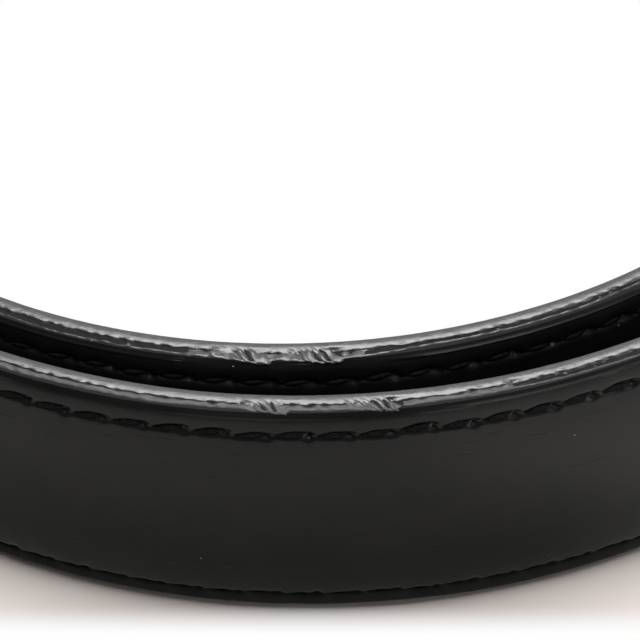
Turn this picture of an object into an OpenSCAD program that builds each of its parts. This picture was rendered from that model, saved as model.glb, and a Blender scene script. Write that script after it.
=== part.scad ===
// A padded leather dress belt, coiled in two turns and standing on its edge.
// The reference line of the strap is its back surface. Every section below is drawn
// as [distance out from the back surface, height above the strap's lower edge].

/* [Strap] */
// Width of the strap, which is its height as the coil stands
strap_w = 30; // [26:0.5:40]
// Thickness of the lining leather
lining_t = 1.0; // [0.8:0.1:1.4]
// Thickness of the face leather
face_t = 1.2; // [0.9:0.1:1.6]
// How much the padding raises the middle of the face
padding_t = 1.9; // [1.2:0.1:2.4]
// Height on the edge at which the padding starts
padding_inset = 1.0; // [0.8:0.1:1.6]
// Thickness of the dried edge paint
paint_t = 0.35; // [0.2:0.05:0.5]
// Radius of the leather's rounded corner beside the paint
edge_round = 0.45; // [0.3:0.05:0.6]
// Radius in which both edges curve in to the point at the strap's free end
point_r = 24; // [20:0.5:30]

/* [Stitching] */
// Distance of the stitch lines from the strap's edges
stitch_inset = 3.2; // [2.4:0.1:4.5]
// Width of the thread
thread_w = 0.8; // [0.6:0.1:1.0]
// Depth of the thread in the leather
thread_sunk = 0.3; // [0.15:0.05:0.4]
// Height of the thread above the leather
thread_proud = 0.15; // [0.05:0.05:0.3]

/* [Coil] */
// Back radius of the outer turn at the front
front_r = 76.3; // [70:0.1:90]
// Free air between the two turns at the front
front_gap = 2.9; // [2:0.1:6]
// Sideways shift of the inner turn's centre
inner_dx = -2.1; // [-4:0.1:0]
// Shift of the inner turn's centre to the front
inner_dy = 4.5; // [3:0.1:7]
// Free air between the outer turn and the straight buckle end
side_gap = 7.6; // [6:0.1:14]

/* [Holes] */
// Number of buckle holes
hole_count = 5; // [3:1:5]
// Diameter of the buckle holes
hole_d = 4; // [3.2:0.1:5]
// Distance between the holes
hole_pitch = 25; // [20:0.5:30]
// Distance of the last hole from the place where the straight tip starts
hole_end = 64; // [40:1:70]

/* [Ends] */
// Length of the straight tip
tip_l = 36; // [34:0.5:40]
// Length over which the padding fades out at both ends
fade_l = 9; // [6:0.5:12]
// Distance from the end of the lining to the buckle pin
lining_to_pin = 5; // [4:0.1:7]
// Free length of strap on which the loose keeper slides
slide_l = 29; // [24:0.5:40]

/* [Turned flap] */
// Length of the flap beyond its last snap
flap_end = 3; // [2:0.5:6]
// Distance kept between the slot, the snaps and the fixed keeper
flap_margin = 1; // [0.6:0.1:2]
// Space between the lining and the flap, filled by the snaps and the fixed keeper
flap_gap = 1.5; // [1.5:0.05:1.8]
// Distance from the pin over which the flap closes in on the strap
fold_l = 7; // [6:0.5:9]

/* [Keepers] */
// Width of both keeper loops along the strap
keeper_w = 10; // [8:0.5:12]
// Thickness of the keeper leather
keeper_t = 1.3; // [1:0.1:1.6]
// Space inside the keepers for the strap's free end
keeper_room = 5; // [4.5:0.1:6]
// Clearance round the strap inside the keepers
keeper_clear = 0.3; // [0.2:0.05:0.5]
// Gap between a keeper's butted ends
butt_gap = 0.2; // [0.1:0.05:0.4]
// Outer corner radius of the keepers
keeper_corner = 2.4; // [1.8:0.1:2.8]
// Length of a staple's back
staple_l = 8; // [6:0.5:10]
// Thickness of the staple wire
staple_wire = 0.6; // [0.5:0.05:0.8]
// Distance between the two staples of one keeper
staple_gap = 4; // [3:0.5:5]

/* [Snaps] */
// Diameter of the snap's cap
snap_cap_d = 8.6; // [7:0.2:9]
// Height of the snap's cap
snap_cap_t = 0.9; // [0.6:0.1:1.2]
// Diameter of the snap's stud and socket
snap_d = 7.6; // [6:0.2:8]
// Diameter of the snap's knob
snap_knob_d = 3.6; // [3:0.1:4.4]
// Diameter of the snap's post and barrel
snap_post_d = 2.4; // [2:0.1:2.8]
// Thickness of the snap's sheet metal
snap_sheet = 0.35; // [0.25:0.05:0.45]
// Play between the snap's knob and its socket
snap_play = 0.05; // [0.02:0.01:0.1]

/* [Buckle] */
// Clearance between the strap's edges and the frame's side bars
window_clear = 0.5; // [0.3:0.1:1.5]
// Length of the window from the pin to the front bar
window_l = 29; // [27:0.5:36]
// Thickness of the frame's side bars
side_bar = 2.5; // [2:0.1:4]
// Width of the frame's front bar
front_bar = 5; // [4:0.1:7]
// Depth of the frame's bars
bar_depth = 3.2; // [2.6:0.1:4]
// Radius of the bow of the frame
bow_r = 55; // [45:1:80]
// Radius of the frame's eyes round the pin
boss_r = 3; // [2.5:0.1:3.4]
// Outer corner radius of the frame
corner_r = 7; // [5:0.5:9]
// Diameter of the buckle pin
pin_d = 3; // [2.6:0.1:3.4]
// Depth of the pin's seats in the side bars
pin_seat = 1.7; // [1.2:0.1:1.9]
// Radial clearance of what turns on the pin
run_clear = 0.08; // [0.04:0.01:0.1]
// Width of the prong
prong_w = 4.6; // [3.6:0.1:5.2]
// Thickness of the prong's eye
prong_eye_t = 1.1; // [0.9:0.1:1.3]
// Thickness of the prong's shank
prong_t = 2; // [1.6:0.1:2.4]
// Width of the prong's tip
prong_tip_w = 3; // [2.4:0.1:3.4]
// How far the prong reaches past the frame
prong_hook = 1.1; // [0.8:0.1:2]
// Height at which the prong rests over the front bar
prong_rest = 0.05; // [0.05:0.05:0.2]
// Clearance at each side of the prong in its slot
slot_clear = 0.9; // [0.6:0.1:1.5]

/* [Hidden] */
$fn = 96;
over = 1;

edge_t = lining_t + face_t;
crown_t = edge_t + padding_t;
half_w = strap_w / 2;
window_w = strap_w + 2 * window_clear;

// The coil: each arc starts where the one before it ends, on a line through both centres.
side_x = front_r + crown_t + side_gap;
back_r = (side_x + front_r) / 2;
back_x = side_x - back_r;
inner_r = front_r - inner_dy - crown_t - front_gap;
quarter_x = (front_r + inner_dy - inner_r + inner_dx) / 2;
right_r = front_r - quarter_x;
left_r = right_r + inner_dy;
tip_x = inner_dx + inner_r;

// The buckle is wider than the strap, so it holds the strap's end up by this much. The outer
// half turn comes down along a plane, whose slope is rounded to a thousandth.
lift = (window_w + 2 * side_bar - strap_w) / 2;
ramp = round(1000 * lift / (side_x + front_r + edge_t)) / 1000;

// The buckle end, measured along the strap from the place where the coil starts.
slot_w = prong_w + 2 * slot_clear;
snap_first = fold_l + slot_w / 2 + flap_margin + snap_cap_d / 2;
keeper_to_pin = snap_first + snap_cap_d / 2 + flap_margin + keeper_w / 2;
snap_second = keeper_to_pin + keeper_w / 2 + flap_margin + snap_cap_d / 2;
flap_l = snap_second + snap_cap_d / 2 + flap_end;
pad_to_pin = keeper_to_pin - fade_l / 2;
pin_u = flap_l + slide_l;
snaps_u = [pin_u - snap_first, pin_u - snap_second];
pin_r = pin_d / 2;
eye_r = pin_r + run_clear;
fold_r = eye_r + face_t;
pin_x = edge_t - fold_r;
slider_back = -keeper_clear - thread_proud;
cap_r = (pow(snap_cap_d / 2, 2) / snap_cap_t + snap_cap_t) / 2 * 0.9;
flap_x = -flap_gap - face_t;

// The buckle: the frame is cut from a tube of radius bow_r, whose axis stands at the bow's centre.
frame_w = window_w + 2 * side_bar;
frame_l = window_l + front_bar;
bow_half = (window_l + front_bar / 2) / 2;
bow_x = pin_x - sqrt(pow(bow_r, 2) - pow(bow_half, 2));
bow_u = pin_u + bow_half;

// The whole belt is centred over its origin.
mid_x = (side_x + crown_t + keeper_room + keeper_t - front_r - crown_t) / 2;
mid_y = (back_r + crown_t - pin_u - frame_l - prong_hook) / 2;

// Height of the face above its edge thickness, at a height h on the strap
function rise(h) = padding_t * (1 - pow(1 - h / half_w, 3));
function face_x(h) = edge_t + rise(h);
function mirrored(points) = concat(points,
    [for (i = [len(points) - 1:-1:0]) [points[i][0], strap_w - points[i][1]]]);

heights = [padding_inset, 0.5 * stitch_inset, 1.45 * stitch_inset, 0.45 * half_w,
    0.6 * half_w, 0.75 * half_w, 0.9 * half_w];
groove_low = stitch_inset - thread_w / 2;
groove_high = stitch_inset + thread_w / 2;
bed_low = stitch_inset - thread_w / 4;
bed_high = stitch_inset + thread_w / 4;

// The thread's bed in a leather surface that stands at x0, facing outwards (1) or back (-1)
function bed(low, mid, high, out) = [[low, groove_low], [mid - out * thread_sunk, bed_low],
    [mid - out * thread_sunk, bed_high], [high, groove_high]];
face_bed = bed(face_x(groove_low), face_x(stitch_inset), face_x(groove_high), 1);
flat_bed = bed(edge_t, edge_t, edge_t, 1);
back_bed = bed(0, 0, 0, -1);
function thread(points, mid, out) = concat(points,
    [[mid + out * thread_proud, bed_high], [mid + out * thread_proud, bed_low]]);

edge_corner = [[edge_t - edge_round, paint_t], [edge_t - 0.3 * edge_round, paint_t + 0.3 * edge_round],
    [edge_t, paint_t + edge_round]];
padding_top = [for (h = heights) [lining_t + rise(h), h]];
padding_outline = mirrored(concat([[lining_t, padding_inset * 0.8]], padding_top));
outer_line = mirrored(concat(edge_corner, [[face_x(heights[1]), heights[1]]], face_bed,
    [for (i = [2:len(heights) - 1]) [face_x(heights[i]), heights[i]]]));
inner_line = mirrored(concat([[lining_t, paint_t], [lining_t, padding_inset * 0.8]], padding_top));
function flipped(points) = [for (p = points) [p[0], strap_w - p[1]]];
function reversed(points) = [for (i = [len(points) - 1:-1:0]) points[i]];
face_outline = concat(outer_line, reversed(inner_line));
flat_outline = concat([[lining_t, paint_t]], mirrored(concat(edge_corner, flat_bed)),
    [[lining_t, strap_w - paint_t]]);
plain_outline = concat([[lining_t, paint_t]], mirrored(edge_corner), [[lining_t, strap_w - paint_t]]);
solid_outline = concat([[lining_t, paint_t]], outer_line, [[lining_t, strap_w - paint_t]]);
back_round = 2 * edge_round / 3;
back_corner = [[back_round, paint_t], [0, paint_t + back_round]];
lining_outline = concat([[lining_t, paint_t], [lining_t, strap_w - paint_t]],
    reversed(mirrored(concat(back_corner, back_bed))));
plain_lining = concat([[lining_t, paint_t], [lining_t, strap_w - paint_t]],
    reversed(mirrored(back_corner)));
paint_outline = [[back_round / 2, paint_t], [0.8 * edge_round, paint_t / 3], [1.7 * edge_round, 0],
    [edge_t - 1.7 * edge_round, 0], [edge_t - 0.8 * edge_round, paint_t / 3],
    [edge_t - back_round / 2, paint_t]];

// A section carried round all the arcs of the coil, from the buckle end to the tip
module coil(outline) {
    multmatrix([[1, 0, 0, 0], [0, 1, 0, 0], [ramp, 0, 1, lift - ramp * side_x], [0, 0, 0, 1]])
        turn(back_x, 0, back_r, 0, 180, outline);
    turn(0, 0, front_r, 180, 180, outline);
    turn(quarter_x, 0, right_r, 0, 90, outline);
    turn(quarter_x, -inner_dy, left_r, 90, 90, outline);
    turn(inner_dx, -inner_dy, inner_r, 180, 180, outline);
}
module turn(x, y, r, from, angle, outline)
    translate([x, y, 0]) rotate([0, 0, from]) rotate_extrude(angle = angle)
        translate([r, 0]) polygon(outline);

// Both straight ends are drawn as [out from the back, height, distance along the strap].
module at_buckle() translate([side_x, 0, lift]) rotate([90, 0, 0]) children();
module at_tip() translate([tip_x, -inner_dy, 0]) mirror([0, 1, 0]) rotate([90, 0, 0]) children();
module centred() translate([-mid_x, -mid_y, 0]) children();
module run(outline, from, to) translate([0, 0, from]) linear_extrude(to - from) polygon(outline);
// A round hole or disc along the outward axis, with its foot at x
module disc(d, x, t, u) translate([x, half_w, u]) rotate([0, 90, 0]) cylinder(d = d, h = t);

// All that lies under the slope on which the padding fades out, lowered by a skin
module fade(end, skin) translate([0, -over, 0]) rotate([-90, 0, 0]) linear_extrude(strap_w + 2 * over)
    polygon([[-over, -end], [edge_t - skin, -end], [crown_t - skin, fade_l - end],
        [crown_t + over, fade_l - end], [crown_t + over, over], [-over, over]]);

module padding(end) intersection() {
    run(padding_outline, 0, end);
    fade(end, face_t);
}
module face_stretch(length, end) {
    difference() {
        intersection() {
            run(solid_outline, 0, end);
            fade(end, 0);
        }
        padding(end);
    }
    difference() {
        run(flat_outline, 0, length);
        padding(end);
    }
}

// The point of the strap, drawn in by an inset from its edges
module point_shape(inset) translate([-over, 0, 0]) rotate([0, 90, 0]) linear_extrude(crown_t + 2 * over)
    mirror([1, 0]) intersection() {
        translate([-over, inset]) square([tip_l + over, strap_w - 2 * inset]);
        union() {
            translate([-over, 0]) square([point_u + over, strap_w]);
            intersection() {
                translate([point_u, point_r]) circle(point_r - inset);
                translate([point_u, strap_w - point_r]) circle(point_r - inset);
            }
        }
    }
point_u = tip_l - sqrt(pow(point_r, 2) - pow(point_r - half_w, 2));
// The ring between two insets round one half of the point, for a thread or the paint
module point_ring(x, t, from, to, upper) intersection() {
    difference() {
        point_shape(from);
        point_shape(to);
    }
    translate([x, upper ? half_w : 0, point_u]) cube([t, half_w, tip_l]);
}

module buckle_holes() for (i = [0:hole_count - 1])
    translate([inner_dx, -inner_dy, half_w])
        rotate([0, 0, -(hole_end + i * hole_pitch) / inner_r * 180 / PI])
            translate([inner_r - over, 0, 0]) rotate([0, 90, 0])
                cylinder(d = hole_d, h = crown_t + 2 * over);

module prong_slot() translate([flap_x - over, half_w, pin_u - fold_l]) {
    depth = edge_t - flap_x + 2 * over;
    translate([0, -slot_w / 2, 0]) cube([depth, slot_w, fold_l + 2 * fold_r]);
    rotate([0, 90, 0]) cylinder(d = slot_w, h = depth);
}

// Where a line from the point p touches the circle round the pin, on its back side
function touch(p, r) = let (v = [p[0] - pin_x, p[1] - pin_u], a = atan2(v[1], v[0]) - acos(r / norm(v)))
    [pin_x + r * cos(a), pin_u + r * sin(a)];
module fold() translate([0, strap_w - paint_t, 0]) rotate([90, 0, 0]) linear_extrude(strap_w - 2 * paint_t) {
    near = pin_u - fold_l;
    back = touch([flap_x, near], fold_r);
    inside = touch([-flap_gap, near], eye_r);
    difference() {
        translate([pin_x, pin_u]) circle(fold_r);
        translate([pin_x, pin_u]) circle(eye_r);
        polygon([[pin_x, pin_u], [pin_x + eye_r, pin_u], [lining_t, near], [-flap_gap, near], inside]);
        polygon([[lining_t, pin_u], [edge_t + over, pin_u], [edge_t + over, near], [lining_t, near]]);
    }
    polygon([[flap_x, near], back, inside, [-flap_gap, near]]);
    translate([flap_x, pin_u - flap_l]) square([face_t, flap_l - fold_l]);
}

module face_leather() color("#17171a") centred() {
    difference() {
        coil(face_outline);
        buckle_holes();
    }
    at_buckle() difference() {
        union() {
            face_stretch(pin_u, pin_u - pad_to_pin);
            fold();
        }
        prong_slot();
        for (u = snaps_u) disc(snap_post_d, flap_x - over, face_t + 2 * over, u);
    }
    at_tip() {
        face_stretch(point_u, point_u);
        difference() {
            intersection() {
                run(plain_outline, point_u, tip_l);
                point_shape(paint_t);
            }
            point_ring(edge_t - thread_sunk, thread_sunk + over, groove_low, groove_high, true);
            point_ring(edge_t - thread_sunk, thread_sunk + over, groove_low, groove_high, false);
        }
    }
}

module filler_core() color("#6b5a48") centred() {
    difference() {
        coil(padding_outline);
        buckle_holes();
    }
    at_buckle() padding(pin_u - pad_to_pin);
    at_tip() padding(point_u);
}

module lining_leather() color("#1e1d1f") centred() {
    difference() {
        coil(lining_outline);
        buckle_holes();
    }
    at_buckle() difference() {
        run(lining_outline, 0, pin_u - lining_to_pin);
        prong_slot();
        for (u = snaps_u) {
            disc(snap_post_d, -over, lining_t + 2 * over, u);
            disc(snap_d, lining_t - snap_sheet, snap_sheet + over, u);
        }
    }
    at_tip() {
        run(lining_outline, 0, point_u);
        difference() {
            intersection() {
                run(plain_lining, point_u, tip_l);
                point_shape(paint_t);
            }
            point_ring(-over, thread_sunk + over, groove_low, groove_high, true);
            point_ring(-over, thread_sunk + over, groove_low, groove_high, false);
        }
    }
}

// The dried paint along one edge, up to the end of the lining and round half of the point
module edge_paint(upper) color("#1b1b1e") centred() {
    outline = upper ? flipped(paint_outline) : paint_outline;
    coil(outline);
    at_buckle() run(outline, 0, pin_u - lining_to_pin);
    at_tip() {
        run(outline, 0, point_u);
        point_ring(paint_outline[0][0], edge_t - 2 * paint_outline[0][0], 0, paint_t, upper);
    }
}
module upper_edge_paint() edge_paint(true);
module lower_edge_paint() edge_paint(false);

// A row of stitching on the face: it dips with the fading padding at both ends.
module needle_thread(upper) color("#101012") centred() {
    rising = thread(face_bed, face_x(stitch_inset), 1);
    level = thread(flat_bed, edge_t, 1);
    raised = upper ? flipped(rising) : rising;
    low = upper ? flipped(level) : level;
    coil(raised);
    at_buckle() {
        faded(pin_u - pad_to_pin) run(raised, 0, pin_u - pad_to_pin);
        run(low, pin_u - pad_to_pin, pin_u - lining_to_pin);
    }
    at_tip() {
        faded(point_u) run(raised, 0, point_u);
        point_ring(edge_t - thread_sunk, thread_sunk + thread_proud, groove_low, groove_high, upper);
    }
}
module faded(end) intersection() {
    children();
    fade(end, 0);
}
module upper_needle_thread() needle_thread(true);
module lower_needle_thread() needle_thread(false);

// The row of stitching on the back
module bobbin_thread(upper) color("#101012") centred() {
    lower = thread(back_bed, 0, -1);
    outline = upper ? flipped(lower) : lower;
    coil(outline);
    at_buckle() run(outline, 0, pin_u - lining_to_pin);
    at_tip() {
        run(outline, 0, point_u);
        point_ring(-thread_proud, thread_sunk + thread_proud, groove_low, groove_high, upper);
    }
}
module upper_bobbin_thread() bobbin_thread(true);
module lower_bobbin_thread() bobbin_thread(false);

// A keeper is a leather band bent to a loop, butted at the middle of its back and stapled.
module keeper(back, u) difference() {
    translate([0, 0, u - keeper_w / 2]) linear_extrude(keeper_w) difference() {
        rounded_box(back - keeper_t, crown_t + keeper_room + keeper_t, keeper_clear + keeper_t,
            keeper_corner);
        rounded_box(back, crown_t + keeper_room, keeper_clear, keeper_corner - keeper_t);
    }
    translate([back - keeper_t - over, half_w - butt_gap / 2, u - keeper_w / 2 - over])
        cube([keeper_t + 2 * over, butt_gap, keeper_w + 2 * over]);
    staples(back, u);
}
module rounded_box(x0, x1, margin, r) translate([x0, -margin]) {
    size = [x1 - x0, strap_w + 2 * margin];
    translate([r, 0]) square([size[0] - 2 * r, size[1]]);
    translate([0, r]) square([size[0], size[1] - 2 * r]);
    for (x = [r, size[0] - r], y = [r, size[1] - r]) translate([x, y]) circle(r);
}
// Two staples sunk in the keeper's back, with their legs through the leather
module staples(back, u) for (side = [-1, 1])
    translate([back - keeper_t, half_w - staple_l / 2, u + side * staple_gap / 2 - staple_wire / 2]) {
        cube([staple_wire, staple_l, staple_wire]);
        cube([keeper_t, staple_wire, staple_wire]);
        translate([0, staple_l - staple_wire, 0]) cube([keeper_t, staple_wire, staple_wire]);
    }
module fixed_keeper() color("#1a1a1d") centred() at_buckle()
    keeper(keeper_t - flap_gap, pin_u - keeper_to_pin);
module fixed_keeper_staples() color("silver") centred() at_buckle()
    staples(keeper_t - flap_gap, pin_u - keeper_to_pin);
module sliding_keeper() color("#1a1a1d") centred() at_buckle() keeper(slider_back, slide_l / 2);
module sliding_keeper_staples() color("silver") centred() at_buckle() staples(slider_back, slide_l / 2);

// The snaps that close the flap: post and stud on the lining, socket and cap on the flap
module snap_posts() color("silver") centred() at_buckle() for (u = snaps_u) {
    disc(snap_d, lining_t - snap_sheet, snap_sheet, u);
    disc(snap_post_d, -snap_sheet, lining_t, u);
}
module snap_studs() color("silver") centred() at_buckle() for (u = snaps_u) difference() {
    union() {
        disc(snap_d, -snap_sheet, snap_sheet, u);
        disc(snap_knob_d, snap_sheet + snap_play - flap_gap, flap_gap - snap_sheet - snap_play, u);
    }
    disc(snap_post_d, -snap_sheet, snap_sheet + over, u);
}
module snap_sockets() color("silver") centred() at_buckle() for (u = snaps_u) difference() {
    disc(snap_d, -flap_gap, flap_gap - snap_sheet, u);
    disc(snap_knob_d + 2 * snap_play, snap_sheet - flap_gap, flap_gap, u);
    disc(snap_post_d, -flap_gap - over, 2 * over, u);
}
module snap_caps() color("silver") centred() at_buckle() for (u = snaps_u) {
    translate([flap_x, half_w, u]) rotate([0, -90, 0]) rotate_extrude() intersection() {
        square([snap_cap_d / 2, snap_cap_t]);
        translate([0, snap_cap_t - cap_r]) circle(cap_r);
    }
    disc(snap_post_d, flap_x, face_t + snap_sheet, u);
}

// The frame, bowed away from the wearer, with an eye at each side for the pin
module frame_shape(l, w, r) {
    translate([0, half_w - w / 2]) square([l - r, w]);
    translate([0, half_w - w / 2 + r]) square([l, w - 2 * r]);
    for (y = [r - w / 2, w / 2 - r]) translate([l - r, half_w + y]) circle(r);
}
module across(x, t) translate([x, 0, pin_u]) rotate([0, 90, 0]) linear_extrude(t) mirror([1, 0]) children();
module round_pin(r, from, to, u) translate([pin_x, to, u]) rotate([90, 0, 0]) cylinder(r = r, h = to - from);
module buckle_frame() color("silver") centred() at_buckle() {
    low = half_w - frame_w / 2;
    high = half_w + frame_w / 2;
    difference() {
        union() {
            intersection() {
                across(bow_x, 2 * bow_r) difference() {
                    frame_shape(frame_l, frame_w, corner_r);
                    translate([-over, 0]) frame_shape(window_l + over, window_w, corner_r - side_bar);
                }
                translate([bow_x, high + over, bow_u]) rotate([90, 0, 0]) difference() {
                    cylinder(r = bow_r + bar_depth / 2, h = frame_w + 2 * over, $fn = 256);
                    translate([0, 0, -over])
                        cylinder(r = bow_r - bar_depth / 2, h = frame_w + 4 * over, $fn = 256);
                }
            }
            round_pin(boss_r, low, low + side_bar, pin_u);
            round_pin(boss_r, high - side_bar, high, pin_u);
        }
        round_pin(pin_r, low + side_bar - pin_seat, high - side_bar + pin_seat, pin_u);
    }
}
module buckle_pin() color("silver") centred() at_buckle()
    round_pin(pin_r, half_w - window_w / 2 - pin_seat, half_w + window_w / 2 + pin_seat, pin_u);

// The prong rests on the front bar and hooks a little way over it.
function bar_top(u) = bow_x + sqrt(pow(bow_r + bar_depth / 2, 2) - pow(u - bow_half, 2));
function bend(a, b, c) = [for (i = [0:6]) let (t = i / 6)
    (1 - t) * (1 - t) * a + 2 * t * (1 - t) * b + t * t * c];
prong_r = eye_r + prong_eye_t;
module prong_side() {
    rest = [bar_top(window_l) + prong_rest, window_l];
    crest = [rest[0] + prong_t, 0.8 * window_l];
    over_bar = window_l + 0.4 * front_bar;
    nose = [bar_top(frame_l) + prong_rest + 0.7 * prong_t, frame_l + prong_hook];
    under = bend([pin_x + 0.2 * prong_t, eye_r + 0.5 * prong_eye_t],
        [rest[0] - 0.3 * prong_t, 0.5 * window_l], rest);
    hook = bend(rest, [rest[0] - 0.05 * prong_t, over_bar], nose - [0.7 * prong_t, 0.15 * prong_t]);
    back = bend(nose, [crest[0], over_bar], crest);
    top = bend(crest, [pin_x + prong_r, 0.4 * window_l], [pin_x + 0.96 * prong_r, 0.4 * prong_r]);
    polygon(concat(under, hook, back, top));
}
module prong() color("silver") centred() at_buckle() difference() {
    union() {
        round_pin(prong_r, half_w - prong_w / 2, half_w + prong_w / 2, pin_u);
        intersection() {
            translate([0, half_w + prong_w / 2, pin_u]) rotate([90, 0, 0]) linear_extrude(prong_w)
                prong_side();
            across(-2 * bow_half, 4 * bow_half) {
                reach = frame_l + 2 * prong_hook;
                polygon([[0, half_w - prong_w / 2], [0.6 * reach, half_w - prong_w / 2],
                    [reach, half_w - prong_tip_w / 2], [reach, half_w + prong_tip_w / 2],
                    [0.6 * reach, half_w + prong_w / 2], [0, half_w + prong_w / 2]]);
            }
        }
    }
    round_pin(eye_r, half_w - prong_w, half_w + prong_w, pin_u);
}

face_leather();
filler_core();
lining_leather();
upper_edge_paint();
lower_edge_paint();
upper_needle_thread();
upper_bobbin_thread();
lower_needle_thread();
lower_bobbin_thread();
fixed_keeper();
fixed_keeper_staples();
sliding_keeper();
sliding_keeper_staples();
snap_posts();
snap_studs();
snap_sockets();
snap_caps();
buckle_frame();
buckle_pin();
prong();
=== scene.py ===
"""A padded black leather dress belt, coiled in two turns and standing on its edge.

Lengths are worked out in millimetres and become metres where a mesh is made. A place on the strap
is (s, inset, out): s along its back from the buckle pin, inset from its lower or upper edge, and
out from its back surface.
"""

import bmesh
import bpy
import numpy as np
from mathutils import Matrix, Vector


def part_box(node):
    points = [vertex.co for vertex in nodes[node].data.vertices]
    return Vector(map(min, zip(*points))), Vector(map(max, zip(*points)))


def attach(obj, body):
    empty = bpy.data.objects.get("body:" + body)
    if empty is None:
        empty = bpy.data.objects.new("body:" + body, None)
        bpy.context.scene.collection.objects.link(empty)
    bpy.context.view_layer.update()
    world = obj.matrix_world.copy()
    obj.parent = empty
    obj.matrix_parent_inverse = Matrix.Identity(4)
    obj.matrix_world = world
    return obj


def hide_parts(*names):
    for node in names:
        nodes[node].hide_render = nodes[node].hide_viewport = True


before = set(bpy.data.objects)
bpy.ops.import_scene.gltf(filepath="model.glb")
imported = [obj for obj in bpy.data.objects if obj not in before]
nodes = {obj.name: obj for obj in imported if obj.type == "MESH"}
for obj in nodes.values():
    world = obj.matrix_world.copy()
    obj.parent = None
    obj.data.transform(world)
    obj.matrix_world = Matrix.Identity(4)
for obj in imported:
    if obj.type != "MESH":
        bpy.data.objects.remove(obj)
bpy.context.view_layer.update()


# Face leather
# The outer ply: smooth satin black calf, laid over a filler that raises its middle. It is sewn to
# the lining along both edges, folds round the buckle pin and ends as a flap.
strap_w, lining_t, face_t = 30.0, 1.0, 1.2
half_w, edge_t = strap_w / 2, lining_t + face_t
padding_t, padding_start, skive_l = 1.9, 21.3, 9.0
point_r = 24.0
lift = 3.0
rear_wear, front_wear = 0.26, 0.24

# The coil, from the pin to the point: the length and radius of each straight run and each arc.
buckle_run, tail_run = 72.4, 36.0
outer_back_r, outer_front_r = 82.15, 76.3
back_right_r, back_left_r, inner_front_r = 69.35, 73.85, 64.8
turns = [
    (buckle_run, None),
    (np.pi * outer_back_r, outer_back_r),
    (np.pi * outer_front_r, outer_front_r),
    (np.pi / 2 * back_right_r, back_right_r),
    (np.pi / 2 * back_left_r, back_left_r),
    (np.pi * inner_front_r, inner_front_r),
    (tail_run, None),
]
strap_l = sum(length for length, _ in turns)
point_s = strap_l - np.sqrt(point_r**2 - (point_r - half_w) ** 2)
front_s = buckle_run + np.pi * outer_back_r + np.pi * outer_front_r / 2
rear_s = strap_l - tail_run - np.pi * inner_front_r / 2

low, high = (1000 * np.array(corner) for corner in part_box("buckle_pin"))
pin_x, pin_y = ((low + high) / 2)[:2]
pin_out = -0.58
fold_r, fold_turn, flap_l = 1.58, np.radians(185.45), 48.4
hole_r, hole_end, hole_pitch, hole_count = 2.0, 100, 25, 5
slot_r, slot_l = 3.2, 7


def ease(x, start, end):
    """0 at start and 1 at end: three times the square less twice the cube of the way between."""
    x = np.clip((x - start) / (end - start), 0, 1)
    return x * x * (3 - 2 * x)


def bump(x, width):
    """A bell of height 1: e to the power of minus the square of x over its width."""
    return np.exp(-((x / width) ** 2))


def rounding(inset, depth, reach):
    """How far an edge is rounded off: depth, falling exponentially with the inset over reach."""
    return depth * np.exp(-(inset - 0.1) / reach)


def ripple(seed, s, t, longest, shortest, waves=22):
    """Smooth unevenness of about -1 to 1: a sum of plane waves of random length and slant."""
    draw = np.random.default_rng(seed)
    total = np.zeros(np.broadcast(s, t).shape)
    for _ in range(waves):
        number = 2 * np.pi / np.exp(draw.uniform(np.log(shortest), np.log(longest)))
        slant, phase = draw.uniform(-1.3, 1.3), draw.uniform(0, 2 * np.pi)
        total += np.sin(number * (np.cos(slant) * s + np.sin(slant) * t) + phase)
    return total / np.sqrt(waves)


def back_line(s):
    """Place, outward normal and height of the strap's back line, s from the pin.

    Straight runs and left-hand arcs, each of which starts where the last one ends. The buckle
    holds the straight end up, and the first half turn comes down to the floor in half a cosine
    wave, as a plane cuts a tube.
    """
    s = np.asarray(s, float)
    x, y, angle, rise = (np.zeros_like(s) for _ in range(4))
    start, heading = 0.0, np.pi / 2
    corner = np.array([pin_x - pin_out, pin_y])
    for number, (length, radius) in enumerate(turns):
        here = (number == 0) | (s >= start)
        if number < len(turns) - 1:
            here = here & (s < start + length)
        run = s[here] - start
        if radius is None:
            angle[here] = heading
            x[here] = corner[0] + run * np.cos(heading)
            y[here] = corner[1] + run * np.sin(heading)
            corner = corner + length * np.array([np.cos(heading), np.sin(heading)])
        else:
            centre = corner + radius * np.array([-np.sin(heading), np.cos(heading)])
            angle[here] = heading + run / radius
            x[here] = centre[0] + radius * np.sin(angle[here])
            y[here] = centre[1] - radius * np.cos(angle[here])
            heading += length / radius
            corner = centre + radius * np.array([np.sin(heading), -np.cos(heading)])
        if number < 2:
            rise[here] = lift if number == 0 else lift * (1 + np.cos(np.pi * run / length)) / 2
        start += length
    return x, y, np.sin(angle), -np.cos(angle), rise


def on_strap(s, inset, out, upper):
    """Points on the strap as [..., 3]: the back line's place, plus out times its normal.

    Past the place where the point begins, a line of equal inset is an arc about the centre of its
    curved edge, which ends on the middle line. The upper edge is worn down where both turns pass
    the front, most at the middle of the front and less towards its sides.
    """
    s, inset, out = np.broadcast_arrays(*(np.asarray(v, float) for v in (s, inset, out)))
    share = np.clip((s - point_s) / (strap_l - point_s), 0, 1)
    radius, least = point_r - inset, point_r - half_w
    swing = share * (np.pi / 2 - np.arcsin(least / np.maximum(radius, least)))
    along = np.where(share > 0, point_s + radius * np.sin(swing), s)
    height = np.where(share > 0, point_r - radius * np.cos(swing), inset)
    x, y, nx, ny, rise = back_line(along)
    worn = rear_wear * ease(abs(along - rear_s), 55, 25)
    worn = worn + front_wear * ease(abs(along - front_s), 38, 12)
    z = (strap_w - height - worn if upper else height) + rise
    return np.stack([x + out * nx, y + out * ny, z], -1)


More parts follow.
